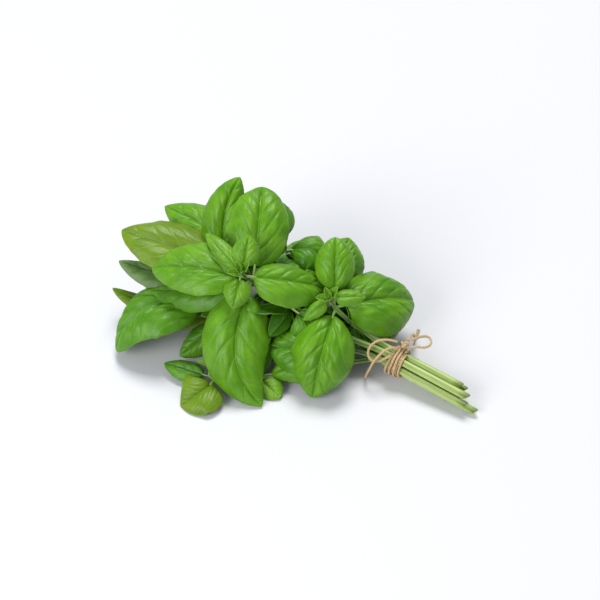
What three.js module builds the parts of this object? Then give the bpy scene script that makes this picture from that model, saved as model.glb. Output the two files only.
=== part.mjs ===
// A bunch of basil: seven cut sprigs tied with jute twine, lying on a flat surface.
// Millimetres, +Z up, z = 0 is the surface. +X runs along the stems towards their cut ends.
import * as THREE from 'three';

// Driving dimensions
const PLACE = [-6.2, 6.8, 0];       // moves the middle of the bunch's length and width to the frame's origin
const TIE = [80, -12, 15];          // middle of the bundle where the twine holds it
const CUT = [130, -18, 9.2];        // middle of the bundle near its cut ends
const STEM_PITCH = 5.8;             // between neighbouring stems in the bundle
const STEM_RADIUS = { cut: 2.7, top: 1.2 };
const NECK = 14;                    // how far past the twine the stems stay together
const CUT_SLANT = 0.7;              // rise of the oblique cut ends over one radius
const GAP = 0.3;                    // between pieces that touch
const LEAF_THICK = 0.8;
const PETIOLE_RADIUS = 0.9;
const PETIOLE_TAPER = 0.4;
const PETIOLE = 7;                  // length of a leaf's stalk, where the leaf states none
const CUP = 0.14;                   // droop of a leaf's margins as a share of its width, where it states none
const PUFF = 0.04;                  // rise of each half of the blade as a share of the leaf's width
const TWINE = 1.8;                  // diameter of the jute twine
const WRAP = { top: 8.5, bottom: 14, sides: 28 };  // length along the bundle under the knot and below it
const KNOT = { centre: [82, -8, 29.2], radius: 3.2 };

const LEAF_GREEN = new THREE.MeshStandardMaterial({ color: 0x4f9a2a, roughness: 0.45, metalness: 0 });
const YOUNG_GREEN = new THREE.MeshStandardMaterial({ color: 0x86bb48, roughness: 0.5, metalness: 0 });
const STEM_GREEN = new THREE.MeshStandardMaterial({ color: 0x9cc069, roughness: 0.5, metalness: 0 });
const JUTE = new THREE.MeshStandardMaterial({ color: 0xb48a5f, roughness: 0.9, metalness: 0 });

const bunch = new THREE.Group();
const at = (p) => new THREE.Vector3(...p);

function add(name, geometry, material) {
  const mesh = new THREE.Mesh(geometry, material);
  mesh.name = name;
  bunch.add(mesh);
}

// Moves every vertex of a geometry, which stays closed because equal points move alike.
function shaped(geometry, move) {
  const places = geometry.attributes.position;
  for (let i = 0; i < places.count; i++) {
    const p = move(new THREE.Vector3().fromBufferAttribute(places, i));
    places.setXYZ(i, p.x, p.y, p.z);
  }
  geometry.computeVertexNormals();
  return geometry;
}

// ---- Stems ----
// Seven stems packed round one another: one in the middle, and six round it at 60 degree steps, where
// 0 degrees is the +Y side.
const alongBundle = at(TIE).sub(at(CUT)).normalize();
const acrossBundle = new THREE.Vector3(0, 0, 1).cross(alongBundle).negate().normalize();
const upBundle = alongBundle.clone().cross(acrossBundle).negate();

function inBundle(centre, along, angle) {
  const p = at(centre).addScaledVector(alongBundle, along);
  if (angle === null) return p;
  const turn = THREE.MathUtils.degToRad(angle);
  return p.addScaledVector(acrossBundle, STEM_PITCH * Math.cos(turn))
    .addScaledVector(upBundle, STEM_PITCH * Math.sin(turn));
}

// The route of one sprig's stem from its cut end, through the twine, to the nodes where leaves grow.
// Its first three points are in the bundle.
const BUNDLE_POINTS = 3;
function stemRoute({ angle, longer, nodes }) {
  const route = [
    inBundle(CUT, -longer, angle),
    inBundle(TIE, 0, angle),
    inBundle(TIE, NECK, angle),
    ...nodes.map(at),
  ];
  return new THREE.CatmullRomCurve3(route, false, 'catmullrom', 0.5);
}

function stemRadius(t) {
  return THREE.MathUtils.lerp(STEM_RADIUS.cut, STEM_RADIUS.top, t);
}

// A closed rod along a route, from its own cylinder. slant tilts the cut at the start of the route.
function rodSolid(route, radius, sides, steps, slant = 0) {
  const rings = [];
  let side = route.getTangent(0).cross(new THREE.Vector3(0, 0, 1)).normalize();
  for (let i = 0; i <= steps; i++) {
    const tangent = route.getTangent(i / steps);
    side = side.clone().addScaledVector(tangent, -side.dot(tangent)).normalize();
    rings.push({ tangent, side, up: side.clone().cross(tangent), centre: route.getPoint(i / steps) });
  }
  return shaped(new THREE.CylinderGeometry(1, 1, 1, sides, steps), (p) => {
    const row = Math.round((p.y + 0.5) * steps);
    const { tangent, side: x, up, centre } = rings[row];
    const r = radius(row / steps);
    return centre.clone()
      .addScaledVector(x, p.x * r)
      .addScaledVector(up, p.z * r)
      .addScaledVector(tangent, row ? 0 : slant * p.z * r);
  });
}

// ---- Leaves ----
// Stations along the blade from its base to its tip, and the share of the full width at each.
const BLADE = [0, 0.07, 0.2, 0.38, 0.58, 0.78, 0.92, 1];
const OVATE = { base: 0.5, tip: 0.65, widest: 0.4551 };
const ovate = (q) => q ** OVATE.base * (1 - q) ** OVATE.tip / OVATE.widest;

// A leaf from its node on the stem to its tip. face is where the upper side looks, bow lifts the midrib's
// two inner control points along it and sway moves them sideways. cup lets the margins droop, or rise
// where it is below zero, and each half of the blade is domed. The blade begins where the petiole ends.
function leafSolid({ from, tip, face, width, bow, sway = [0, 0], cup = CUP * width, petiole = PETIOLE }) {
  const chord = tip.clone().sub(from);
  const side = chord.clone().cross(face).normalize();
  const out = side.clone().cross(chord).normalize();
  const midrib = new THREE.CubicBezierCurve3(
    from,
    from.clone().lerp(tip, 1 / 3).addScaledVector(out, bow[0]).addScaledVector(side, sway[0]),
    from.clone().lerp(tip, 2 / 3).addScaledVector(out, bow[1]).addScaledVector(side, sway[1]),
    tip,
  );
  const stalk = petiole / chord.length();
  const stations = [0, stalk / 2, ...BLADE.map((q) => stalk + (1 - stalk) * q)];
  const rows = stations.length - 1;
  return shaped(new THREE.BoxGeometry(2, 1, 1, 4, rows, 1), (p) => {
    const s = stations[Math.round((p.y + 0.5) * rows)];
    const q = Math.max(0, (s - stalk) / (1 - stalk));
    const share = ovate(q);
    const a = Math.abs(p.x);
    const lift = share * (4 * PUFF * width * a * (1 - a) - cup * a * a);
    const tangent = midrib.getTangent(s);
    const up = side.clone().cross(tangent).normalize();
    const across = tangent.clone().cross(up);
    const half = Math.max(PETIOLE_RADIUS * (1 - PETIOLE_TAPER * s), share * width / 2);
    return midrib.getPoint(s)
      .addScaledVector(across, p.x * half)
      .addScaledVector(up, lift + p.z * LEAF_THICK);
  });
}

// The closed cluster of unfolding leaves at the end of a shoot.
function shootTipSolid(route, radius, length) {
  const tangent = route.getTangent(1);
  const turn = new THREE.Quaternion().setFromUnitVectors(new THREE.Vector3(0, 1, 0), tangent);
  const centre = route.getPoint(1).addScaledVector(tangent, length / 2 + GAP);
  return new THREE.SphereGeometry(1, 8, 6)
    .scale(radius, length / 2, radius)
    .applyQuaternion(turn)
    .translate(centre.x, centre.y, centre.z);
}

// ---- The seven sprigs ----
// angle is the stem's place in the bundle, null being the middle, and longer is how far it reaches past CUT.
// node counts along the sprig's nodes from the bundle outwards, and a leaf between two nodes has a fraction.
const SPRIGS = {
  crown: {
    angle: 120, longer: 2,
    nodes: [[42, -19, 31], [3, -20, 44], [-24, -25, 61], [-27, -29, 67], [-28, -32, 73]],
    tip: { radius: 3, length: 8 },
    leaves: {
      low_right: { node: 1, tip: [26, -26, 37], face: [0.1, -0.5, 0.85], width: 25, bow: [2, 2] },
      low_back: { node: 1, tip: [-4, 16, 54], face: [0.3, -0.5, 0.8], width: 30, bow: [4, 4] },
      under_left: { node: 2, tip: [-95, -42, 39], face: [0, -0.1, 1], width: 31,
        bow: [1, 0], sway: [-5, -5], petiole: 10 },
      front: { node: 2, tip: [8, -78, 2.5], face: [0.3, -0.6, 0.7], width: 48, bow: [10, 8], sway: [13, 25] },
      back: { node: 2, tip: [-42, 29, 99], face: [0.3, -0.64, 0.7], width: 41, bow: [3, 6], petiole: 8 },
      right: { node: 3, tip: [21, 0, 50], face: [0.1, -0.25, 0.95], width: 34,
        bow: [8, 8], sway: [3, 3], petiole: 4 },
      left: { node: 3, tip: [-95, -40, 58], face: [0.1, -0.4, 0.9], width: 38,
        bow: [9, 11], cup: -3, petiole: 4 },
      young_front: { node: 4, tip: [-25, -52, 58], face: [0.2, -0.5, 0.8], width: 19,
        bow: [3, 3], petiole: 3 },
      young_back: { node: 4, tip: [-29, -18, 95], face: [0.3, -0.8, 0.5], width: 19,
        bow: [3, 2], petiole: 3 },
      young_left: { node: 4, tip: [-62, -18, 84], face: [0.3, -0.7, 0.6], width: 13,
        bow: [5, 5], petiole: 3 },
    },
  },
  shoulder: {
    angle: 60, longer: -6,
    nodes: [[45, -10, 35], [33, -12, 46], [30, -12, 51], [29, -14, 56]],
    tip: { radius: 3, length: 8 },
    leaves: {
      front: { node: 1, tip: [36, -58, 3.5], face: [0.2, -0.7, 0.7], width: 43, bow: [18, 20], cup: 3 },
      back: { node: 1.7, tip: [18, 18, 82], face: [0.3, -0.65, 0.7], width: 26, bow: [4, 6], petiole: 9 },
      right: { node: 1, tip: [72, 36, 27], face: [0.3, -0.3, 0.9], width: 48, bow: [10, 14], petiole: 12 },
      young_left: { node: 3, tip: [16, -29, 44], face: [0, -0.4, 0.9], width: 11, bow: [2, 2], petiole: 2 },
      young_right: { node: 3, tip: [50, -2, 56], face: [0, -0.5, 0.85], width: 12, bow: [2, 2], petiole: 2 },
    },
  },
  front: {
    angle: 240, longer: 10,
    nodes: [[46, -24, 10], [-2, -60, 9], [-30, -74, 9], [-35, -69, 15]],
    tip: { radius: 3, length: 8 },
    leaves: {
      low_right: { node: 1, tip: [16, -66, 3.4], face: [0.1, -0.5, 0.8], width: 14, bow: [0, 0], petiole: 2 },
      right: { node: 0, tip: [4, -57, 11], face: [0.2, -0.5, 0.85], width: 28, bow: [9, 8] },
      left: { node: 2, tip: [-68, -76, 9], face: [0, -0.15, 1], width: 17, bow: [-1, 1], petiole: 9 },
      front: { node: 2, tip: [-43, -100, 1.4], face: [0.12, -0.1, 1], width: 31,
        bow: [5, 5], sway: [-4, -4], cup: 1, petiole: 3 },
    },
  },
  left: {
    angle: 180, longer: 3,
    nodes: [[44, -20, 20], [-6, -36, 26], [-45, -35, 29], [-46, -39, 34]],
    tip: { radius: 3, length: 7 },
    leaves: {
      low_right: { node: 0, tip: [-4, -47, 25], face: [0.2, -0.5, 0.85], width: 31,
        bow: [11, 8], sway: [-10, 2], petiole: 10 },
      left: { node: 2, tip: [-106, -80, 8], face: [-0.05, 0.1, 1], width: 51,
        bow: [23, 28], sway: [13, 15], cup: 8, petiole: 9 },
      front: { node: 1.85, tip: [-64, -62, 4], face: [0.1, -0.5, 0.8], width: 20,
        bow: [-1, -1], petiole: 10 },
      low_left: { node: 2, tip: [-127, -42, 27], face: [0, 0, 1], width: 22, bow: [-17, -18], sway: [6, 5] },
    },
  },
  rear_left: {
    angle: null, longer: -2,
    nodes: [[44, -9, 25], [-1, -5, 42], [-35, -11, 50], [-52, -10, 50], [-55, -13, 57]],
    tip: { radius: 2, length: 5 },
    leaves: {
      low_back: { node: 1, tip: [-45, 40, 28], face: [-0.2, 0.2, 0.95], width: 38, bow: [3, 3] },
      back: { node: 2, tip: [-76, 50, 28], face: [-0.2, 0.2, 0.95], width: 36, bow: [5, 5] },
      upper_left: { node: 2, tip: [-114, 16, 63], face: [0.2, -0.5, 0.85], width: 31,
        bow: [0, 1], sway: [13, 6] },
      left: { node: 3, tip: [-128, -21, 66], face: [0.1, -0.2, 1], width: 44,
        bow: [7, 4], sway: [1, -3], cup: 2, petiole: 9 },
      under_left: { node: 2.8, tip: [-127, -30, 44], face: [-0.2, 0.1, 0.95], width: 24,
        bow: [-16, -11], sway: [-4, 1], petiole: 14 },
      upright: { node: 3, tip: [-60, 30, 98], face: [0.3, -0.65, 0.7], width: 30,
        bow: [2, 4], sway: [-9, -9] },
    },
  },
  rear: {
    angle: 0, longer: -3,
    nodes: [[47, 0, 29], [19, 9, 38], [-14, 22, 50], [-19, 17, 56]],
    tip: { radius: 3, length: 7 },
    leaves: {
      low_right: { node: 0, tip: [61, 23, 8], face: [0.6, 0, 0.8], width: 24, bow: [4, 4] },
      low_back: { node: 1, tip: [40, 66, 5], face: [0, 0.2, 0.97], width: 34, bow: [6, 6] },
      back: { node: 2, tip: [-5, 76, 10], face: [0, 0.2, 0.97], width: 36, bow: [-4, 0] },
      right: { node: 3, tip: [6, 26, 40], face: [0.3, 0.1, 0.9], width: 24, bow: [18, 12], sway: [-6, -5] },
      upper_right: { node: 1, tip: [18, 44, 62], face: [0.3, -0.5, 0.8], width: 29, bow: [2, 3] },
      upright: { node: 3, tip: [-47, 36, 81], face: [0.3, -0.64, 0.7], width: 30, bow: [3, 4] },
    },
  },
  base: {
    angle: 300, longer: -5,
    nodes: [[48, -2, 9], [0, 30, 9], [-32, 48, 9], [-40, 53, 12]],
    tip: { radius: 3, length: 8 },
    leaves: {
      low_back: { node: 0, tip: [48, 58, 1], face: [0, 0, 1], width: 32, bow: [4, 4] },
      back: { node: 1, tip: [5, 85, 1], face: [0, 0.1, 1], width: 36, bow: [5, 5] },
      inner: { node: 1, tip: [-40, 5, 12], face: [0, 0, 1], width: 30, bow: [3, 3] },
      left: { node: 2, tip: [-95, 40, 1], face: [0, 0, 1], width: 38, bow: [6, 6] },
      rear: { node: 2, tip: [-30, 90, 1], face: [0, 0.1, 1], width: 32, bow: [4, 4] },
    },
  },
};

for (const [sprig, { leaves, tip, ...stem }] of Object.entries(SPRIGS)) {
  const route = stemRoute(stem);
  const spans = route.points.length - 1;
  const steps = 2 * spans;
  add(`${sprig}_stem`, rodSolid(route, stemRadius, 8, steps, CUT_SLANT), STEM_GREEN);
  add(`${sprig}_shoot_tip`, shootTipSolid(route, tip.radius, tip.length), YOUNG_GREEN);
  for (const [leaf, spec] of Object.entries(leaves)) {
    const t = (spec.node + BUNDLE_POINTS) / spans;
    const node = route.getPoint(t);
    const tangent = route.getTangent(t);
    const end = at(spec.tip);
    const outwards = end.clone().sub(node);
    outwards.addScaledVector(tangent, -outwards.dot(tangent)).normalize();
    const from = node.addScaledVector(outwards, stemRadius(t) + 2 * GAP);
    const solid = leafSolid({ ...spec, from, tip: end, face: at(spec.face) });
    add(`${sprig}_leaf_${leaf}`, solid, leaf.startsWith('young') ? YOUNG_GREEN : LEAF_GREEN);
  }
}

// ---- Jute twine ----
// The wrap round the bundle, a knot on top of it, and a bow of two loose loops and two tails.
const TIED_AT = 0.3;  // the twine's place along a stem, as a share of its length
const aroundBundle = STEM_PITCH + stemRadius(TIED_AT) + GAP;

function alongTheBundle(geometry, centre) {
  const turn = new THREE.Quaternion().setFromUnitVectors(new THREE.Vector3(0, 1, 0), alongBundle);
  return geometry.applyQuaternion(turn).translate(...centre);
}

// The section of the ring, one unit long, closes on its first corner.
const wrapProfile = [[0, 0], [TWINE, 0], [TWINE, 1], [0, 1], [0, 0]]
  .map(([out, along]) => new THREE.Vector2(aroundBundle + out, along - 1 / 2));
// The turns gather under the knot and fan out below it.
const wrap = shaped(new THREE.LatheGeometry(wrapProfile, WRAP.sides), (p) => {
  const below = (1 - p.z / Math.hypot(p.x, p.z)) / 2;
  p.y *= THREE.MathUtils.lerp(WRAP.top, WRAP.bottom, below);
  return p;
});
add('twine_wrap', alongTheBundle(wrap, TIE), JUTE);

add('twine_knot', new THREE.IcosahedronGeometry(KNOT.radius, 1).translate(...KNOT.centre), JUTE);

// The loose ends of the twine: each route is followed from the knot.
const CORDS = {
  bow_right: [
    [86.6, -8, 28.6], [88.6, -7.1, 28.8], [90.7, -5.9, 28.6], [92.8, -4.6, 28], [94.7, -3, 27.2],
    [96.1, -0.9, 26.5], [96.9, 1.5, 26], [96.9, 4, 25.8], [96, 6.2, 25.8], [94.4, 7.6, 26.2],
    [92.5, 7.4, 27], [90.7, 5.8, 28], [89.2, 3.4, 29],
    [87.9, 0.8, 30], [86.7, -1.8, 30.8], [85.5, -4.2, 31.6],
  ],
  bow_left: [
    [77.4, -9.6, 31.2], [75.2, -10.6, 32.3], [72.8, -11.6, 32.9], [70.3, -12.6, 33], [67.8, -13.6, 32.7],
    [65.5, -14.8, 32], [63.5, -16.3, 30.9], [62.1, -18.2, 29.5], [61.3, -20.3, 27.8], [61.4, -22.3, 25.9],
    [62.4, -24, 24.2], [64.2, -25, 23], [66.5, -25, 22.3], [69, -24.2, 22.4], [71.5, -22.8, 23.2],
    [73.9, -20.9, 24.5], [76.2, -18.6, 25.8],
  ],
  tail_right: [
    [82.9, -3.4, 29.3], [82.9, -1.2, 29.4], [82.8, 1, 29],
    [82.7, 3.1, 28], [82.5, 5.2, 26.6], [82.2, 7.2, 24.8],
    [81.9, 9.2, 22.7], [81.5, 11.2, 20.3], [81.1, 13.2, 17.7], [80.7, 15.3, 14.9], [80.2, 17.5, 12],
    [79.7, 19.9, 9.1], [79.2, 22.5, 6.3], [78.7, 25.3, 3.8],
    [78.3, 28.3, 2], [78, 31.5, 1.2], [77.8, 34.5, 1.1],
  ],
  tail_left: [
    [78.6, -11.4, 27.6], [76.7, -12.9, 28.5], [74.8, -14.6, 28.9], [73, -16.6, 28.9], [71.5, -18.8, 28.4],
    [70.2, -21.2, 27.5], [69, -23.6, 26.2], [67.9, -25.8, 24.4], [66.9, -27.5, 22], [66, -28.5, 19.2],
    [65.1, -29, 16.2], [64.2, -29, 13.1], [63.3, -28.5, 10], [62.5, -27.4, 7], [61.7, -25.7, 4.4],
    [60.9, -23.6, 2.4], [60.1, -21, 1.3], [59.4, -18.6, 1.1],
  ],
};
const CORD_SIDES = 8;
const CORD_STEP = 2.5;  // length of one step along a cord
const cordSection = new THREE.Shape(Array.from({ length: CORD_SIDES }, (_, i) => {
  const turn = i * 2 * Math.PI / CORD_SIDES;
  return new THREE.Vector2(Math.cos(turn), Math.sin(turn)).multiplyScalar(TWINE / 2);
}));
for (const [name, points] of Object.entries(CORDS)) {
  const extrudePath = new THREE.CatmullRomCurve3(points.map(at), false, 'catmullrom', 0.5);
  const steps = Math.round(extrudePath.getLength() / CORD_STEP);
  const tube = new THREE.ExtrudeGeometry(cordSection, { steps, bevelEnabled: false, extrudePath });
  add(`twine_${name}`, tube, JUTE);
}

// The frame's origin is under the middle of the bunch, on the surface it lies on.
bunch.position.set(...PLACE);

export default bunch;
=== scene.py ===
# A bunch of basil: seven cut sprigs tied with jute twine, lying on a pale table.
# Lengths are in metres unless a comment says millimetres. +Z is up and +X runs towards the cut stem ends.
import math
import random

import bpy
import numpy as np
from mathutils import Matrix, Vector


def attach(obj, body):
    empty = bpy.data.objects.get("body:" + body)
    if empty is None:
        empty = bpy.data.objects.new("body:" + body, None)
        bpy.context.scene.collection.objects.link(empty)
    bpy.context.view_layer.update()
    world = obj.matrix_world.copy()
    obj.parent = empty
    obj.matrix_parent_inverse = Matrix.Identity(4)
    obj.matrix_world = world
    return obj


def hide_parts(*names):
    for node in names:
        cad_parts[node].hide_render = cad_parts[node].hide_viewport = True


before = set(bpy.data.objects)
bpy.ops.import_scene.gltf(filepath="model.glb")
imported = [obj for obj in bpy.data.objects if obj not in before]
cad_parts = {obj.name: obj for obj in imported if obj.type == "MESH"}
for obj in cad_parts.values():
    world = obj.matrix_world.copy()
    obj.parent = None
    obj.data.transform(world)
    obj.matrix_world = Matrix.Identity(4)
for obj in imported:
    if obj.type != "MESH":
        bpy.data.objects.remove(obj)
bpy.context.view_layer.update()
bpy.ops.object.select_all(action="DESELECT")

# ---- Camera ----
# The bunch is seen from its near side, with the cut ends to the right, looking down at 45 degrees.
VIEW_CENTRE = Vector((-0.0062, 0.0068, 0.030))
VIEW_DISTANCE = 0.9
VIEW_AZIMUTH, VIEW_ELEVATION = math.radians(25), math.radians(45)
LENS = 77  # millimetres, on the standard 36 mm sensor
towards_camera = Vector((
    math.sin(VIEW_AZIMUTH) * math.cos(VIEW_ELEVATION),
    -math.cos(VIEW_AZIMUTH) * math.cos(VIEW_ELEVATION),
    math.sin(VIEW_ELEVATION),
))
bpy.ops.object.camera_add(
    location=VIEW_CENTRE + towards_camera * VIEW_DISTANCE,
    rotation=towards_camera.to_track_quat("Z", "Y").to_euler(),
)
bpy.context.object.data.lens = LENS
bpy.context.scene.camera = bpy.context.object

# ---- Jute twine: the loops and tails of the bow ----
# Three-ply twine of spun jute, 1.8 mm thick and hairy, as it comes off a ball. The bow's two loops leave
# the knot and go back under it, and its two tails hang to the table and end in a fray.
MM = 0.001
PLACE = np.array([-6.2, 6.8, 0])  # millimetres, from the middle of the leaf crown to the frame's origin
TWINE = 1.8 * MM
PLY_PITCH = 6.5 * MM
PLIES = 3
PLY_RADIUS = 0.26 * TWINE
PLY_OFFSET = TWINE / 2 - PLY_RADIUS
PLY_SIDES = 8
LUMP_LENGTH = 2.3 * MM  # for each radian of the slow swelling along a ply
FIBRE_RADIUS = 0.055 * MM
FIBRE_POINTS = 6
FIBRE_ROOT = 0.42 * TWINE  # from the middle of the twine, just under its surface
FRAY_FIBRES = 30
FRAY_LENGTH = 1.5 * MM  # of the twine's end, where the fray's hairs start
CORD_FIBRES, CORD_FIBRE_LENGTH = 36, 2.2 * MM
LOWEST = 0.1 * MM  # no thread and no stem reaches below this height
luck = random.Random(11)


def colour(code):
    """The linear colour of an sRGB hex code."""
    parts = [int(code[i:i + 2], 16) / 255 for i in (1, 3, 5)]
    return [c / 12.92 if c <= 0.04045 else ((c + 0.055) / 1.055) ** 2.4 for c in parts] + [1]


def node(tree, kind, inputs=None, **settings):
    """A node with its settings. inputs maps a socket's name or number to a value, or to what it reads."""
    made = tree.nodes.new("ShaderNode" + kind)
    for name, value in settings.items():
        setattr(made, name, value)
    for socket, value in (inputs or {}).items():
        if isinstance(value, bpy.types.NodeSocket):
            tree.links.new(value, made.inputs[socket])
        else:
            made.inputs[socket].default_value = value
    return made


def new_material(name):
    """An empty material and its tree, with the output node."""
    material = bpy.data.materials.new(name)
    material.use_nodes = True
    material.node_tree.nodes.clear()
    return material, material.node_tree, node(material.node_tree, "OutputMaterial")


def curve_at(points, t):
    """The points at shares t of a Catmull-Rom curve through points, whose spans all count alike."""
    p = np.asarray(points, float)
    p = np.vstack([2 * p[0] - p[1], p, 2 * p[-1] - p[-2]])
    at = np.clip(np.asarray(t, float), 0, 1) * (len(p) - 3)
    span = np.minimum(at.astype(int), len(p) - 4)
    w = (at - span)[:, None]
    a, b, c, d = (p[span + i] for i in range(4))
    leave, arrive = (c - a) / 2, (d - b) / 2
    cubic, square = 2 * b - 2 * c + leave + arrive, 3 * c - 3 * b - 2 * leave - arrive
    return cubic * w**3 + square * w**2 + leave * w + b


def even_line(points, step):
    """Points along the curve through points, about step apart."""
    fine = curve_at(points, np.linspace(0, 1, 60 * len(points)))
    run = np.concatenate([[0], np.cumsum(np.linalg.norm(np.diff(fine, axis=0), axis=1))])
    even = np.linspace(0, run[-1], max(3, round(run[-1] / step)))
    return np.stack([np.interp(even, run, fine[:, i]) for i in range(3)], axis=1)


def unit(v):
    """Vectors of the same directions, one long."""
    return v / np.linalg.norm(v, axis=-1, keepdims=True)


def frames_along(line, tangents=None):
    """A line's tangent at each point, and two directions square to it that turn as little as they can."""
    tangents = unit(np.gradient(line, axis=0)) if tangents is None else tangents
    side = unit(np.cross(tangents[0], [0, 0, 1] if abs(tangents[0][2]) < 0.95 else [0, 1, 0]))
    sides = []
    for tangent in tangents:
        side = unit(side - tangent * (side @ tangent))
        sides.append(side)
    sides = np.array(sides)
    return tangents, sides, np.cross(sides, tangents)


def vertices_of(mesh):
    """The places of a mesh's vertices, a row for each."""
    flat = np.empty(3 * len(mesh.vertices), np.float32)
    mesh.vertices.foreach_get("co", flat)
    return flat.reshape(-1, 3).astype(float)


def lay(mesh, places):
    """Moves a mesh's vertices to places."""
    mesh.vertices.foreach_set("co", places.astype(np.float32).ravel())
    mesh.update()


def rod(line, radius, sides, section=None, tangents=None):
    """A closed rod along a line, made from a ball whose rings are laid along it. section shapes its outline.
    Its UV map holds the share of a turn round the rod, and the centimetres along it."""
    line, rows = np.asarray(line, float), len(line)
    tangents, side, up = frames_along(line, tangents)
    radius = np.broadcast_to(radius, rows)
    bpy.ops.mesh.primitive_uv_sphere_add(segments=sides, ring_count=rows + 1, radius=1)
    made = bpy.context.object
    mesh = made.data
    ball = vertices_of(mesh)
    ring = np.rint(np.arccos(np.clip(ball[:, 2], -1, 1)) / math.pi * (rows + 1)).astype(int)
    row = np.clip(ring - 1, 0, rows - 1)
    turn = np.arctan2(ball[:, 1], ball[:, 0])
    reach = radius[row] * (1 if section is None else section(turn))
    reach = np.where((ring == 0) | (ring == rows + 1), 0, reach)[:, None]
    lay(mesh, line[row] + reach * (side[row] * np.cos(turn)[:, None] + up[row] * np.sin(turn)[:, None]))
    run = np.concatenate([[0], np.cumsum(np.linalg.norm(np.diff(line, axis=0), axis=1))])
    corner = np.empty(len(mesh.loops), np.int32)
    mesh.loops.foreach_get("vertex_index", corner)
    around = np.empty(2 * len(mesh.loops), np.float32)
    mesh.uv_layers.active.data.foreach_get("uv", around)
    around = around.reshape(-1, 2)
    around[:, 1] = run[row[corner]] * 100
    mesh.uv_layers.active.data.foreach_set("uv", around.ravel())
    bpy.ops.object.shade_smooth()
    return made


def joined(name, parts):
    """One piece of several parts, at the origin."""
    bpy.ops.object.select_all(action="DESELECT")
    for part in parts:
        part.select_set(True)
    bpy.context.view_layer.objects.active = parts[0]
    if len(parts) > 1:
        bpy.ops.object.join()
    piece = bpy.context.object
    piece.name = piece.data.name = name
    bpy.ops.object.select_all(action="DESELECT")
    return piece


def stray_fibre(root, out, along, longest):
    """One jute hair that has come loose from a ply."""
    length = luck.uniform(0.4, 1) * longest
    curl = luck.uniform(-0.5, 0.5)
    steps = np.linspace(0, 1, FIBRE_POINTS)[:, None]
    across = np.cross(out, along)
    line = root + length * (steps * along + 0.45 * np.sin(2.2 * steps) * out + curl * steps**2 * across)
    return rod(line, FIBRE_RADIUS * np.linspace(1, 0.5, FIBRE_POINTS), sides=3)


def twine(name, line, fibres, longest_fibre, frayed=False):
    """Three plies laid round each other along a line, with loose hairs."""
    tangents, side, up = frames_along(line)
    run = np.concatenate([[0], np.cumsum(np.linalg.norm(np.diff(line, axis=0), axis=1))])
    parts = []
    for ply in range(PLIES):
        turn = (2 * math.pi * (run / PLY_PITCH + ply / PLIES))[:, None]
        strand = line + PLY_OFFSET * (np.cos(turn) * side + np.sin(turn) * up)
        thick = PLY_RADIUS * (1 + 0.08 * np.sin(run / LUMP_LENGTH + 2 * ply))
        parts.append(rod(strand, thick, PLY_SIDES))
    for _ in range(fibres):
        i = luck.randrange(2, len(line) - 2)
        turn = luck.uniform(0, 2 * math.pi)
        out = math.cos(turn) * side[i] + math.sin(turn) * up[i]
        along = unit(tangents[i] * luck.choice((-1, 1)) + 0.3 * out)
        parts.append(stray_fibre(line[i] + out * FIBRE_ROOT, out, along, longest_fibre))
    for _ in range(FRAY_FIBRES if frayed else 0):
        turn = luck.uniform(0, 2 * math.pi)
        out = math.cos(turn) * side[-1] + math.sin(turn) * up[-1]
        out[2] = abs(out[2])
        start = line[-1] - tangents[-1] * FRAY_LENGTH + out * luck.uniform(0.1, 0.4) * TWINE
        parts.append(stray_fibre(start, out, unit(tangents[-1] + 0.25 * out), longest_fibre))
    piece = joined(name, parts)
    places = vertices_of(piece.data)
    places[:, 2] = np.maximum(places[:, 2], LOWEST)
    lay(piece.data, places)
    return piece


# Jute: dull golden-brown bast fibre. Long fibres of lighter and darker straw run along each ply, and the
# surface scatters light with no gloss. Fibres are about 0.1 mm wide; the streaks that stand for them are
# drawn 0.16 mm wide and 1 mm long to show. The straw's tint changes over patches about 4 mm across.
jute, tree, output = new_material("spun_jute_twine")
place = node(tree, "UVMap")
stretched = node(tree, "Mapping", {"Vector": place.outputs[0], "Scale": (18, 9, 1)})
fibre = node(tree, "TexNoise", {"Vector": stretched.outputs[0], "Scale": 1, "Detail": 4, "Roughness": 0.6})
patch_place = node(tree, "TexCoord")
patch = node(tree, "TexNoise", {"Vector": patch_place.outputs["Object"], "Scale": 260, "Detail": 2})
straw = node(tree, "ValToRGB", {"Fac": fibre.outputs["Fac"]})
straw.color_ramp.elements[0].position, straw.color_ramp.elements[0].color = 0.28, colour("#8D7043")
straw.color_ramp.elements[1].position, straw.color_ramp.elements[1].color = 0.72, colour("#ECD6AA")
tint = node(tree, "MixRGB", {"Fac": patch.outputs["Fac"], 1: straw.outputs["Color"], 2: colour("#CDAD7C")})
relief = node(tree, "Bump", {"Strength": 0.6, "Distance": 0.15 * MM, "Height": fibre.outputs["Fac"]})
surface = node(tree, "BsdfPrincipled", {
    "Base Color": tint.outputs[0], "Roughness": 0.88, "Specular IOR Level": 0.2,
    "Sheen Weight": 0.25, "Sheen Roughness": 0.5, "Normal": relief.outputs["Normal"],
})
tree.links.new(surface.outputs[0], output.inputs["Surface"])

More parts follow.
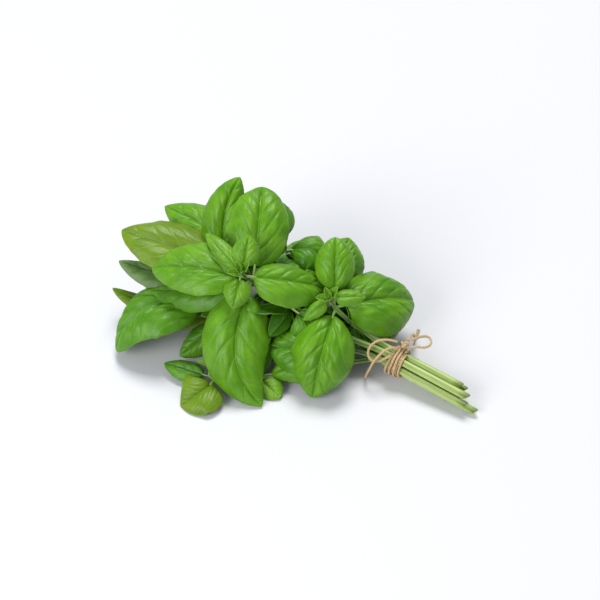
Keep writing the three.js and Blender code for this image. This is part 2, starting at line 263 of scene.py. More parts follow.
# Each route is followed from the knot, in millimetres from the middle of the leaf crown.
BOW = {
    "bow_right": [
        (86.6, -8, 28.6), (88.6, -7.1, 28.8), (90.7, -5.9, 28.6), (92.8, -4.6, 28), (94.7, -3, 27.2),
        (96.1, -0.9, 26.5), (96.9, 1.5, 26), (96.9, 4, 25.8), (96, 6.2, 25.8), (94.4, 7.6, 26.2),
        (92.5, 7.4, 27), (90.7, 5.8, 28), (89.2, 3.4, 29), (87.9, 0.8, 30), (86.7, -1.8, 30.8),
        (85.5, -4.2, 31.6),
    ],
    "bow_left": [
        (77.4, -9.6, 31.2), (75.2, -10.6, 32.3), (72.8, -11.6, 32.9), (70.3, -12.6, 33), (67.8, -13.6, 32.7),
        (65.5, -14.8, 32), (63.5, -16.3, 30.9), (62.1, -18.2, 29.5), (61.3, -20.3, 27.8), (61.4, -22.3, 25.9),
        (62.4, -24, 24.2), (64.2, -25, 23), (66.5, -25, 22.3), (69, -24.2, 22.4), (71.5, -22.8, 23.2),
        (73.9, -20.9, 24.5), (76.2, -18.6, 25.8),
    ],
    "tail_right": [
        (82.9, -3.4, 29.3), (82.9, -1.2, 29.4), (82.8, 1, 29), (82.7, 3.1, 28), (82.5, 5.2, 26.6),
        (82.2, 7.2, 24.8), (81.9, 9.2, 22.7), (81.5, 11.2, 20.3), (81.1, 13.2, 17.7), (80.7, 15.3, 14.9),
        (80.2, 17.5, 12), (79.7, 19.9, 9.1), (79.2, 22.5, 6.3), (78.7, 25.3, 3.8), (78.3, 28.3, 2),
        (78, 31.5, 1.2), (77.8, 34.5, 1.1),
    ],
    "tail_left": [
        (78.6, -11.4, 27.6), (76.7, -12.9, 28.5), (74.8, -14.6, 28.9), (73, -16.6, 28.9), (71.5, -18.8, 28.4),
        (70.2, -21.2, 27.5), (69, -23.6, 26.2), (67.9, -25.8, 24.4), (66.9, -27.5, 22), (66, -28.5, 19.2),
        (65.1, -29, 16.2), (64.2, -29, 13.1), (63.3, -28.5, 10), (62.5, -27.4, 7), (61.7, -25.7, 4.4),
        (60.9, -23.6, 2.4), (60.1, -21, 1.3), (59.4, -18.6, 1.1),
    ],
}
for end, points in BOW.items():
    route = (np.array(points) + PLACE) * MM
    line = even_line(route, 0.5 * MM)
    is_tail = end.startswith("tail")
    cord = twine(f"twine_strand_{end}", line, CORD_FIBRES, CORD_FIBRE_LENGTH, frayed=is_tail)
    cord.data.materials.append(jute)
    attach(cord, "root")
    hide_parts(f"twine_{end}")

# ---- Jute twine: the wrap and the knot ----
# The same twine goes eight times round the stems: five turns side by side on the stems, then three that
# cross them on the way back. They are drawn together under the knot and spread below it. Millimetres.
TIE = np.array([80, -12, 15.0])
CUT = np.array([130, -18, 9.2])
STEM_PITCH = 5.8
along_bundle = unit(TIE - CUT)
across_bundle = unit(-np.cross([0, 0, 1], along_bundle))
up_bundle = -np.cross(along_bundle, across_bundle)
INNER_TURNS, OUTER_TURNS = 5, 3
POINTS_PER_TURN = 72
FIRST_ANGLE = 80  # degrees, where the wrap starts: just beside the knot
TIED_STEM_RADIUS = 2.3
FIRST_LAYER, SECOND_LAYER = 0.95, 1.5  # the twine's middle above the stems, and the outer turns' rise over it
LAYER_STEP = 0.35  # of a turn, in which the twine climbs from one layer to the other
BACK_PITCH = 1.45  # how far apart the outer turns lie, where the inner ones count as 1
PITCH_AT_KNOT, MORE_BELOW = 1.55, 1.15
WRAP_FIBRES, KNOT_FIBRES, TIE_FIBRE_LENGTH = 110, 24, 4 * MM

turns = np.linspace(0, INNER_TURNS + OUTER_TURNS, POINTS_PER_TURN * (INNER_TURNS + OUTER_TURNS))
turn = 2 * math.pi * turns + math.radians(FIRST_ANGLE)
to_corner = (np.degrees(turn) + 30) % 60 - 30  # from the nearest of the six outer stems
spread = (1 - np.sin(turn)) / 2  # 0 at the knot, 1 below the bundle
outer = np.clip((turns - INNER_TURNS) / LAYER_STEP + 0.5, 0, 1)
out = STEM_PITCH * np.cos(np.radians(to_corner)) + TIED_STEM_RADIUS + FIRST_LAYER + SECOND_LAYER * outer
beside = np.where(
    turns < INNER_TURNS,
    turns - INNER_TURNS / 2,
    INNER_TURNS / 2 - (turns - INNER_TURNS) * BACK_PITCH,
)
drift = 0.35 * np.sin(1.7 * turn + 1) + 0.25 * np.sin(2.9 * turn)
shift = beside * (PITCH_AT_KNOT + MORE_BELOW * spread) + drift * spread
round_stems = np.cos(turn)[:, None] * across_bundle + np.sin(turn)[:, None] * up_bundle
wrap_line = TIE + along_bundle * shift[:, None] + out[:, None] * round_stems
wrap = twine(
    "twine_turns", even_line((wrap_line + PLACE) * MM, 0.6 * MM), WRAP_FIBRES, TIE_FIBRE_LENGTH)

# The knot is the bow's crossing drawn tight: a small three-lobed tangle of one strand.
KNOT = np.array([82, -8, 29.2])
KNOT_SCALE = 0.78
t = np.linspace(0, 2 * math.pi, 80)
lobes = np.stack([np.sin(t) + 2 * np.sin(2 * t), np.cos(t) - 2 * np.cos(2 * t), -1.3 * np.sin(3 * t)], axis=1)
knot_line = KNOT + PLACE + KNOT_SCALE * lobes
knot = twine("twine_crossing", even_line(knot_line * MM, 0.5 * MM), KNOT_FIBRES, TIE_FIBRE_LENGTH)
for piece, cad_node in ((wrap, "twine_wrap"), (knot, "twine_knot")):
    piece.data.materials.append(jute)
    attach(piece, "root")
    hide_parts(cad_node)

# ---- Stems ----
# Seven soft green stems, cut obliquely with a knife. A basil stem is four-sided, with a shallow groove down
# each face, pale and watery near the cut and greener towards the leaves, and it swells where leaves grow.
STEM_RADIUS = (2.7, 1.2)  # millimetres, at the cut and at the shoot tip
STEM_SIDES = 40
RINGS_PER_SPAN = 9
NECK = 14  # millimetres that the stems stay side by side beyond the tie
CUT_SLANT = 1.0  # how far a cut recedes for each millimetre of height
CUT_RINGS = (0.45, 0.86)  # shares of the stem's radius, of two rings on the face of the cut
GROOVE = 0.16  # radians, half the width of a groove
NODE_SWELLING = 0.16
BUNDLE_POINTS = 3  # a route's points before its first node: at the cut, at the tie and at the neck
SPRIGS = {  # the stem's place round the middle one in degrees, its length past CUT, and its nodes
    "crown": {
        "angle": 120, "longer": 2,
        "nodes": [(42, -19, 31), (3, -20, 44), (-24, -25, 61), (-27, -29, 67), (-28, -32, 73)],
    },
    "shoulder": {
        "angle": 60, "longer": -6,
        "nodes": [(45, -10, 35), (33, -12, 46), (30, -12, 51), (29, -14, 56)],
    },
    "front": {
        "angle": 240, "longer": 10,
        "nodes": [(46, -24, 10), (-2, -60, 9), (-30, -74, 9), (-35, -69, 15)],
    },
    "left": {
        "angle": 180, "longer": 3,
        "nodes": [(44, -20, 20), (-6, -36, 26), (-45, -35, 29), (-46, -39, 34)],
    },
    "rear_left": {
        "angle": None, "longer": -2,
        "nodes": [(44, -9, 25), (-1, -5, 42), (-35, -11, 50), (-52, -10, 50), (-55, -13, 57)],
    },
    "rear": {
        "angle": 0, "longer": -3,
        "nodes": [(47, 0, 29), (19, 9, 38), (-14, 22, 50), (-19, 17, 56)],
    },
    "base": {
        "angle": 300, "longer": -5,
        "nodes": [(48, -2, 9), (0, 30, 9), (-32, 48, 9), (-40, 53, 12)],
    },
}


def in_bundle(centre, along, angle):
    """A point of one stem in the bundle, whose stems stand at 60 degree steps round the middle one."""
    p = centre + along_bundle * along
    if angle is None:
        return p
    turn = math.radians(angle)
    return p + STEM_PITCH * (math.cos(turn) * across_bundle + math.sin(turn) * up_bundle)


def stem_route(sprig):
    """A stem's route from its cut to its last node."""
    angle = sprig["angle"]
    start = [in_bundle(CUT, -sprig["longer"], angle), in_bundle(TIE, 0, angle), in_bundle(TIE, NECK, angle)]
    return np.array(start + [np.array(n, float) for n in sprig["nodes"]])


def stem_radius(t):
    """A stem's radius at share t of its route."""
    return STEM_RADIUS[0] + (STEM_RADIUS[1] - STEM_RADIUS[0]) * t


def share_of_node(route, number):
    """The share of a stem's route at which a node is. A number with a fraction is between two nodes."""
    return (number + BUNDLE_POINTS) / (len(route) - 1)


def four_sided(turn):
    """The outline of a stem: rounded corners at the quarters, and a groove down the middle of each face."""
    to_groove = turn % (math.pi / 2) - math.pi / 4
    return 1 + 0.05 * np.cos(4 * turn) - 0.09 * np.exp(-(to_groove / GROOVE) ** 2)


# Fresh stem: watery green tissue under a thin skin. The ridges are pale and the grooves dark green, with
# faint long streaks, and the skin is softly glossy. The cut shows pale pith inside a thin green rind.
stem_skin, tree, output = new_material("fresh_basil_stem")
place = node(tree, "UVMap")
parts = node(tree, "SeparateXYZ", {0: place.outputs[0]})
quarter = node(tree, "Math", {0: parts.outputs[0], 1: 4.0}, operation="MULTIPLY")
ridge = node(tree, "Math", {0: quarter.outputs[0], 1: 0.5}, operation="PINGPONG")
ridges = node(tree, "MapRange", {0: ridge.outputs[0], 1: 0.0, 2: 0.5, 3: 1.0, 4: 0.0},
              interpolation_type="SMOOTHSTEP")
stretched = node(tree, "Mapping", {"Vector": place.outputs[0], "Scale": (14, 0.5, 1)})
streaks = node(tree, "TexNoise", {"Vector": stretched.outputs[0], "Scale": 1, "Detail": 3})
object_place = node(tree, "TexCoord")
axes = node(tree, "SeparateXYZ", {0: object_place.outputs["Object"]})
greener = node(tree, "MapRange", {0: axes.outputs[0], 1: 0.078, 2: 0.045, 3: 0.0, 4: 1.0})
cut_end = node(tree, "MixRGB", {"Fac": ridges.outputs[0], 1: colour("#75912A"), 2: colour("#B3C674")})
leafy_end = node(tree, "MixRGB", {"Fac": ridges.outputs[0], 1: colour("#3F6A14"), 2: colour("#739C38")})
tissue = node(tree, "MixRGB", {"Fac": greener.outputs[0], 1: cut_end.outputs[0], 2: leafy_end.outputs[0]})
streak_amount = node(tree, "MapRange", {0: streaks.outputs["Fac"], 1: 0.35, 2: 0.75, 3: 0.0, 4: 0.4})
streaked = node(tree, "MixRGB", {"Fac": streak_amount.outputs[0], 1: tissue.outputs[0], 2: colour("#C9D99C")})
relief = node(tree, "Bump", {"Strength": 0.25, "Distance": 0.2 * MM, "Height": streaks.outputs["Fac"]})
surface = node(tree, "BsdfPrincipled", {
    "Base Color": streaked.outputs[0], "Roughness": 0.42, "IOR": 1.42, "Subsurface Weight": 0.15,
    "Subsurface Radius": (0.002, 0.003, 0.001), "Subsurface Scale": 0.5, "Normal": relief.outputs["Normal"],
})
tree.links.new(surface.outputs[0], output.inputs["Surface"])

# Pith: wet, loose white-green cells, about 0.5 mm across, that glisten on the fresh cut.
pith, tree, output = new_material("cut_stem_pith")
object_place = node(tree, "TexCoord")
cells = node(tree, "TexVoronoi", {"Vector": object_place.outputs["Object"], "Scale": 2200})
wet = node(tree, "MixRGB", {"Fac": cells.outputs["Distance"], 1: colour("#D9E6B4"), 2: colour("#B7CF84")})
surface = node(tree, "BsdfPrincipled", {"Base Color": wet.outputs[0], "Roughness": 0.35, "IOR": 1.36})
tree.links.new(surface.outputs[0], output.inputs["Surface"])

routes = {}
for sprig, spec in SPRIGS.items():
    route = routes[sprig] = stem_route(spec)
    spans = len(route) - 1
    t = np.concatenate([[0] * len(CUT_RINGS), np.linspace(0, 1, RINGS_PER_SPAN * spans)])
    line = curve_at(route, t)
    ahead, behind = curve_at(route, t + 1e-3), curve_at(route, t - 1e-3)
    radius = stem_radius(t)
    for swelling in range(BUNDLE_POINTS, spans + 1):
        away = (t * spans - swelling) * 6
        radius = radius * (1 + NODE_SWELLING * np.exp(-away**2))
    radius[:len(CUT_RINGS)] *= CUT_RINGS
    stem = rod((line + PLACE) * MM, radius * MM, STEM_SIDES, four_sided, unit(ahead - behind))
    places = vertices_of(stem.data)
    start = (route[0] + PLACE) * MM
    tangent = unit(ahead[0] - behind[0])
    from_start = places - start
    height = from_start @ unit(np.array([0, 0, 1]) - tangent * tangent[2])
    at_cut = np.abs(from_start @ tangent) < 0.05 * MM
    places[at_cut] -= np.outer(height[at_cut] * CUT_SLANT, tangent)
    places[:, 2] = np.maximum(places[:, 2], LOWEST)
    lay(stem.data, places)
    stem.data.materials.append(stem_skin)
    stem.data.materials.append(pith)
    for face in stem.data.polygons:
        if all(at_cut[v] for v in face.vertices):
            face.material_index = 1
            face.use_smooth = False
    joined(f"stem_{sprig}", [stem])
    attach(stem, "root")
    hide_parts(f"{sprig}_stem")

# ---- Leaves ----
# Sweet basil leaves: soft oval blades 0.45 mm thick, glossy above and paler below, domed between the midrib
# and curved side veins that sink into the upper face. Each grows from a node on its stem by a short stalk.
LEAF_THICK = 0.45  # millimetres, as all the lengths of a leaf are
STALK_RADIUS = 0.9
LEAF_CLEARANCE = 0.3  # between the middle of a leaf or stalk and the table
TABLE_BEND = 0.7  # over which a leaf that meets the table bends flat
BASE_TAPER = 0.42  # power of the blade's outline at its base; a lower power is rounder
DOME = 0.28  # four times the rise of each half of a blade, as a share of the leaf's width
CUP_POWER = 2.4  # how late the margin turns down on its way out from the midrib
MARGIN_WAVE = 0.018  # about the height of the waves along the margin, as a share of the leaf's width
CREASE_DEPTH, CREASE_WIDTH = 0.7, 1.1  # over the midrib
GATHER = 1.35  # power that gathers a blade's columns at its midrib
RIB_END = 0.86  # share of the leaf's length at which the rib below it runs out
RIB_SIDES = 12
BIG, SMALL = 40, 20  # a leaf wider than BIG gets a finer mesh, and so does one wider than SMALL that isn't green
LEAVES = {
    "crown": {
        "low_right": {"node": 1, "tip": (26, -26, 37), "face": (0.1, -0.5, 0.85), "width": 34, "bow": (2, 2)},
        "low_back": {"node": 1, "tip": (-4, 16, 54), "face": (0.3, -0.5, 0.8), "width": 36, "bow": (4, 4)},
        "under_left": {"node": 2, "tip": (-95, -42, 39), "face": (0, -0.1, 1), "width": 31, "bow": (1, 0),
                       "sway": (-5, -5), "stalk": 10},
        "front": {"node": 2, "tip": (8, -78, 2.5), "face": (0.3, -0.6, 0.7), "width": 46, "bow": (10, 8),
                  "sway": (13, 25), "curl": 1, "tone": "fresh", "pucker": 0.028},
        "back": {"node": 2, "tip": (-42, 29, 99), "face": (0.3, -0.64, 0.7), "width": 42, "bow": (4, 8),
                 "stalk": 8, "tone": "fresh", "wave": 1.6, "curl": 4, "droop": 5, "taper": 0.52},
        "right": {"node": 3, "tip": (21, 0, 50), "face": (0.1, -0.25, 0.95), "width": 34, "bow": (8, 8),
                  "sway": (3, 3), "stalk": 4, "tone": "fresh", "taper": 0.6},
        "left": {"node": 3, "tip": (-95, -40, 58), "face": (0.1, -0.4, 0.9), "width": 38, "bow": (9, 11),
                 "droop": 1, "stalk": 4, "tone": "fresh"},
        "young_front": {"node": 4, "tip": (-25, -52, 58), "face": (0.2, -0.5, 0.8), "width": 19,
                        "bow": (3, 3), "stalk": 3, "tone": "young"},
        "young_back": {"node": 4, "tip": (-29, -18, 95), "face": (0.3, -0.8, 0.5), "width": 19, "bow": (3, 2),
                       "stalk": 3, "tone": "young"},
        "young_left": {"node": 4, "tip": (-62, -18, 84), "face": (0.3, -0.7, 0.6), "width": 13, "bow": (5, 5),
                       "stalk": 3, "tone": "young"},
    },
    "shoulder": {
        "front": {"node": 1, "tip": (36, -58, 3.5), "face": (0.2, -0.7, 0.7), "width": 43, "bow": (18, 20),
                  "droop": 9, "curl": 1, "stalk": 3, "tone": "fresh", "taper": 0.52, "pucker": 0.042},
        "back": {"node": 1.7, "tip": (18, 18, 82), "face": (0.3, -0.65, 0.7), "width": 27, "bow": (4, 6),
                 "stalk": 9, "tone": "fresh", "taper": 0.55},
        "right": {"node": 1, "tip": (72, 36, 27), "face": (0.3, -0.3, 0.9), "width": 48, "bow": (10, 14),
                  "stalk": 5, "curl": 1, "tone": "fresh", "taper": 0.5},
        "young_left": {"node": 3, "tip": (16, -29, 44), "face": (0, -0.4, 0.9), "width": 11, "bow": (2, 2),
                       "stalk": 2, "tone": "young"},
        "young_right": {"node": 3, "tip": (50, -2, 56), "face": (0, -0.5, 0.85), "width": 12, "bow": (2, 2),
                        "stalk": 2, "tone": "young"},
    },
    "front": {
        "low_right": {"node": 1, "tip": (16, -66, 3.4), "face": (0.1, -0.5, 0.8), "width": 19, "bow": (0, 0),
                      "stalk": 2, "tone": "pale"},
        "right": {"node": 0, "tip": (4, -57, 11), "face": (0.2, -0.5, 0.85), "width": 29, "bow": (11, 11),
                  "sway": (4, 4), "stalk": 4, "tone": "fresh"},
        "left": {"node": 2, "tip": (-68, -76, 9), "face": (0, -0.15, 1), "width": 17, "bow": (-1, 1),
                 "stalk": 9},
        "front": {"node": 2, "tip": (-43, -100, 1.4), "face": (0.12, -0.1, 1), "width": 34, "bow": (5, 5),
                  "sway": (-4, -4), "droop": 1, "stalk": 3, "tone": "golden", "curl": 1, "pucker": 0.018},
    },
    "left": {
        "low_right": {"node": 0, "tip": (-4, -47, 25), "face": (0.2, -0.5, 0.85), "width": 42, "bow": (11, 8),
                      "sway": (-10, 2), "stalk": 10},
        "left": {"node": 2, "tip": (-107, -80, 8), "face": (-0.05, 0.1, 1), "width": 56, "bow": (23, 28),
                 "sway": (13, 15), "taper": 0.55, "droop": 7, "wave": 0.3, "pucker": 0.05, "stalk": 9},
        "front": {"node": 1.85, "tip": (-64, -62, 4), "face": (0.1, -0.5, 0.8), "width": 20, "bow": (-1, -1),
                  "stalk": 10},
        "low_left": {"node": 2, "tip": (-127, -42, 27), "face": (0, 0, 1), "width": 24, "bow": (-17, -18),
                     "sway": (6, 5), "tone": "golden"},
    },
    "rear_left": {
        "low_back": {"node": 1, "tip": (-45, 40, 28), "face": (-0.2, 0.2, 0.95), "width": 38, "bow": (3, 3)},
        "back": {"node": 2, "tip": (-76, 50, 28), "face": (-0.2, 0.2, 0.95), "width": 36, "bow": (5, 5)},
        "upper_left": {"node": 2, "tip": (-115, 16, 63), "face": (0.2, -0.5, 0.85), "width": 38,
                       "bow": (0, 1), "sway": (13, 6), "tone": "fresh"},
        "left": {"node": 3, "tip": (-128, -21, 66), "face": (0.1, -0.2, 1), "width": 44, "bow": (7, 4),
                 "sway": (1, -3), "droop": 3, "stalk": 9, "tone": "golden"},
        "under_left": {"node": 2.8, "tip": (-127, -30, 44), "face": (-0.2, 0.0, 0.95), "width": 30,
                       "bow": (-16, -11), "sway": (-4, 1), "stalk": 14, "tone": "bluish"},
        "upright": {"node": 3, "tip": (-60, 30, 98), "face": (0.3, -0.65, 0.7), "width": 31, "bow": (2, 4),
                    "sway": (-9, -9), "tone": "fresh"},
    },
    "rear": {
        "low_right": {"node": 0, "tip": (61, 23, 8), "face": (0.6, 0, 0.8), "width": 24, "bow": (4, 4)},
        "low_back": {"node": 1, "tip": (40, 66, 5), "face": (0, 0.2, 0.97), "width": 34, "bow": (6, 6)},
        "back": {"node": 2, "tip": (-5, 76, 10), "face": (0, 0.2, 0.97), "width": 36, "bow": (-4, 0)},
        "right": {"node": 3, "tip": (12, 20, 40), "face": (0.3, -0.1, 0.9), "width": 34, "bow": (19, 14),
                  "sway": (-6, -5), "stalk": 2},
        "upper_right": {"node": 1, "tip": (18, 44, 62), "face": (0.3, -0.5, 0.8), "width": 34,
                        "bow": (2, 3), "curl": 5, "tone": "fresh"},
        "upright": {"node": 3, "tip": (-47, 36, 81), "face": (0.3, -0.64, 0.7), "width": 30, "bow": (3, 4)},
    },
    "base": {
        "low_back": {"node": 0, "tip": (48, 58, 1), "face": (0, 0, 1), "width": 32, "bow": (4, 4)},
        "back": {"node": 1, "tip": (5, 85, 1), "face": (0, 0.1, 1), "width": 36, "bow": (5, 5)},
        "inner": {"node": 1, "tip": (-40, 5, 12), "face": (0, 0, 1), "width": 30, "bow": (3, 3)},
        "left": {"node": 2, "tip": (-95, 40, 1), "face": (0, 0, 1), "width": 38, "bow": (6, 6)},
        "rear": {"node": 2, "tip": (-30, 90, 1), "face": (0, 0.1, 1), "width": 32, "bow": (4, 4)},
    },
}

# Leaf blade: a waxy cuticle over soft green tissue, so it has a broad, soft gloss. The furrows over the
# veins and the strip beside the midrib are darkened with painted shade, the veins themselves and the margin
# are thin light lines, and a net of small veins about 2 mm apart dimples the skin and is darkened along its
# lines with painted shade. Patches of darker green come and go at random. Some light comes through from
# behind. Below it is paler, duller and bluish.
# Scales are in patterns a metre: patches 14 mm across, the net 2 mm, and the skin's grain 0.4 mm.
PATCHES, NET, GRAIN = 70, 480, 2600
UPPER_ROUGHNESS, LOWER_ROUGHNESS = 0.34, 0.6
LIGHT_THROUGH = 0.16
# In each tone the second colour is both the darker green of random patches and the painted shade in the furrows,
# beside the midrib and along the vein net.
TONES = {
    "fresh": {"lit": "#72AC1E", "dark_patch_and_shade": "#488608", "vein": "#9CC655", "below": "#8DAE5C"},
    "green": {"lit": "#63A01C", "dark_patch_and_shade": "#3C7A07", "vein": "#8DB94A", "below": "#84A656"},
    "pale": {"lit": "#93C03A", "dark_patch_and_shade": "#5F9A1C", "vein": "#AFD272", "below": "#A0C070"},
    # painted shade: a darker copy of the leaf colours, for the side shoots in the shadowed inside of the bunch
    "painted_shade": {"lit": "#47800F", "dark_patch_and_shade": "#2B5D07", "vein": "#6C9A35", "below": "#5C8434"},
    "golden": {"lit": "#7B9A20", "dark_patch_and_shade": "#5D860F", "vein": "#A8C452", "below": "#A4B965"},
    "young": {"lit": "#7CB22B", "dark_patch_and_shade": "#518C10", "vein": "#A2CE5E", "below": "#98BA64"},
    "bluish": {"lit": "#769A52", "dark_patch_and_shade": "#557D38", "vein": "#9DBA7C", "below": "#8AAA72"},
}


def blade_material(name, lit, dark_patch_and_shade, vein, roughness):
    """One face of a blade, with its veins drawn where the UV map of leaf_parts has them."""
    material, tree, output = new_material(name)
    veins = node(tree, "UVMap")
    parts = node(tree, "SeparateXYZ", {0: veins.outputs[0]})
    from_vein = node(tree, "Math", {0: parts.outputs[0], 1: 0.5}, operation="PINGPONG")
    out = node(tree, "Math", {0: parts.outputs[1]}, operation="ABSOLUTE")
    # painted shade: darker in the furrow along each side vein
    furrow = node(tree, "MapRange", {0: from_vein.outputs[0], 1: 0.02, 2: 0.17, 3: 0.6, 4: 0.0},
                  interpolation_type="SMOOTHSTEP")
    side_line = node(tree, "MapRange", {0: from_vein.outputs[0], 1: 0.012, 2: 0.05, 3: 0.3, 4: 0.0},
                     interpolation_type="SMOOTHSTEP")
    midrib = node(tree, "MapRange", {0: out.outputs[0], 1: 0.01, 2: 0.03, 3: 0.4, 4: 0.0},
                  interpolation_type="SMOOTHSTEP")
    margin = node(tree, "MapRange", {0: out.outputs[0], 1: 0.96, 2: 0.99, 3: 0.0, 4: 0.4},
                  interpolation_type="SMOOTHSTEP")
    line = node(tree, "Math", {0: side_line.outputs[0], 1: midrib.outputs[0]}, operation="MAXIMUM")
    lines = node(tree, "Math", {0: line.outputs[0], 1: margin.outputs[0]}, operation="MAXIMUM")
    place = node(tree, "TexCoord")
    patches = node(tree, "TexNoise", {"Vector": place.outputs["Object"], "Scale": PATCHES, "Detail": 3})
    net = node(tree, "TexVoronoi", {"Vector": place.outputs["Object"], "Scale": NET, "Randomness": 0.85},
               feature="DISTANCE_TO_EDGE")
    mesh_line = node(tree, "MapRange", {0: net.outputs["Distance"], 1: 0.0, 2: 0.14, 3: 1.0, 4: 0.0})
    grain = node(tree, "TexNoise", {"Vector": place.outputs["Object"], "Scale": GRAIN, "Detail": 2})
    patch = node(tree, "MapRange", {0: patches.outputs["Fac"], 1: 0.38, 2: 0.66, 3: 0.0, 4: 0.7})
    # painted shade: darker in the crease beside the midrib
    midrib_crease_shade = node(tree, "MapRange", {0: out.outputs[0], 1: 0.03, 2: 0.16, 3: 0.7, 4: 0.0})
    crease_shade = node(tree, "Math", {0: furrow.outputs[0], 1: midrib_crease_shade.outputs[0]}, operation="MAXIMUM")
    # painted shade in the furrows and by the midrib, together with random darker patches
    shade = node(tree, "Math", {0: crease_shade.outputs[0], 1: patch.outputs[0]}, operation="MAXIMUM")
    tissue = node(tree, "MixRGB", {"Fac": shade.outputs[0], 1: colour(lit), 2: colour(dark_patch_and_shade)})
    # painted shade: darker along the lines of the small-vein net, where the skin dimples
    net_line_shade_amount = node(tree, "Math", {0: mesh_line.outputs[0], 1: 0.22}, operation="MULTIPLY")
    net_line_shade = node(tree, "MixRGB", {"Fac": net_line_shade_amount.outputs[0], 1: tissue.outputs[0], 2: colour(dark_patch_and_shade)})
    lined = node(tree, "MixRGB", {"Fac": lines.outputs[0], 1: net_line_shade.outputs[0], 2: colour(vein)})
    dimples = node(tree, "Math", {0: mesh_line.outputs[0], 1: -1.0}, operation="MULTIPLY")
    skin = node(tree, "Math", {0: grain.outputs["Fac"], 1: 0.35, 2: dimples.outputs[0]},
                operation="MULTIPLY_ADD")
    relief = node(tree, "Bump", {"Strength": 0.35, "Distance": 0.12 * MM, "Height": skin.outputs[0]})
    dull = node(tree, "MapRange", {
        0: grain.outputs["Fac"], 1: 0.3, 2: 0.7, 3: roughness - 0.05, 4: roughness + 0.08,
    })
    surface = node(tree, "BsdfPrincipled", {
        "Base Color": lined.outputs[0], "Roughness": dull.outputs[0], "IOR": 1.45,
        "Specular IOR Level": 0.4, "Normal": relief.outputs["Normal"],
    })
    through = node(tree, "BsdfTranslucent", {"Color": lined.outputs[0], "Normal": relief.outputs["Normal"]})
    both = node(tree, "MixShader", {0: LIGHT_THROUGH, 1: surface.outputs[0], 2: through.outputs[0]})
    tree.links.new(both.outputs[0], output.inputs["Surface"])
    return material


upper, lower = {}, {}
for tone, shades in TONES.items():
    upper[tone] = blade_material(
        f"basil_leaf_{tone}", shades["lit"], shades["dark_patch_and_shade"], shades["vein"], UPPER_ROUGHNESS)
    # the underside darkens its veins and net towards the upper colour, as painted shade
    lower[tone] = blade_material(
        f"basil_leaf_{tone}_underside", shades["below"], shades["lit"], shades["vein"], LOWER_ROUGHNESS)


def bezier(controls, s):
    """Points and tangents at shares s of a cubic curve with four control points."""
    a, b, c, d = controls
    s = s[:, None]
    r = 1 - s
    points = r**3 * a + 3 * r**2 * s * b + 3 * r * s**2 * c + s**3 * d
    tangents = 3 * r**2 * (b - a) + 6 * r * s * (c - b) + 3 * s**2 * (d - c)
    return points, unit(tangents)


def above_table(places):
    """Places with those that reach the table bent flat along it, LEAF_CLEARANCE above it. Millimetres."""
    over = (places[:, 2] - LEAF_CLEARANCE) / TABLE_BEND
    places[:, 2] = LEAF_CLEARANCE + TABLE_BEND * (np.maximum(over, 0) + np.log1p(np.exp(-np.abs(over))))
    return places


def outline(q, taper):
    """Half the blade's width at share q of its length, as a share of the widest."""
    peak = BASE_TAPER / (BASE_TAPER + taper)
    return (q / peak) ** BASE_TAPER * ((1 - q) / (1 - peak)) ** taper


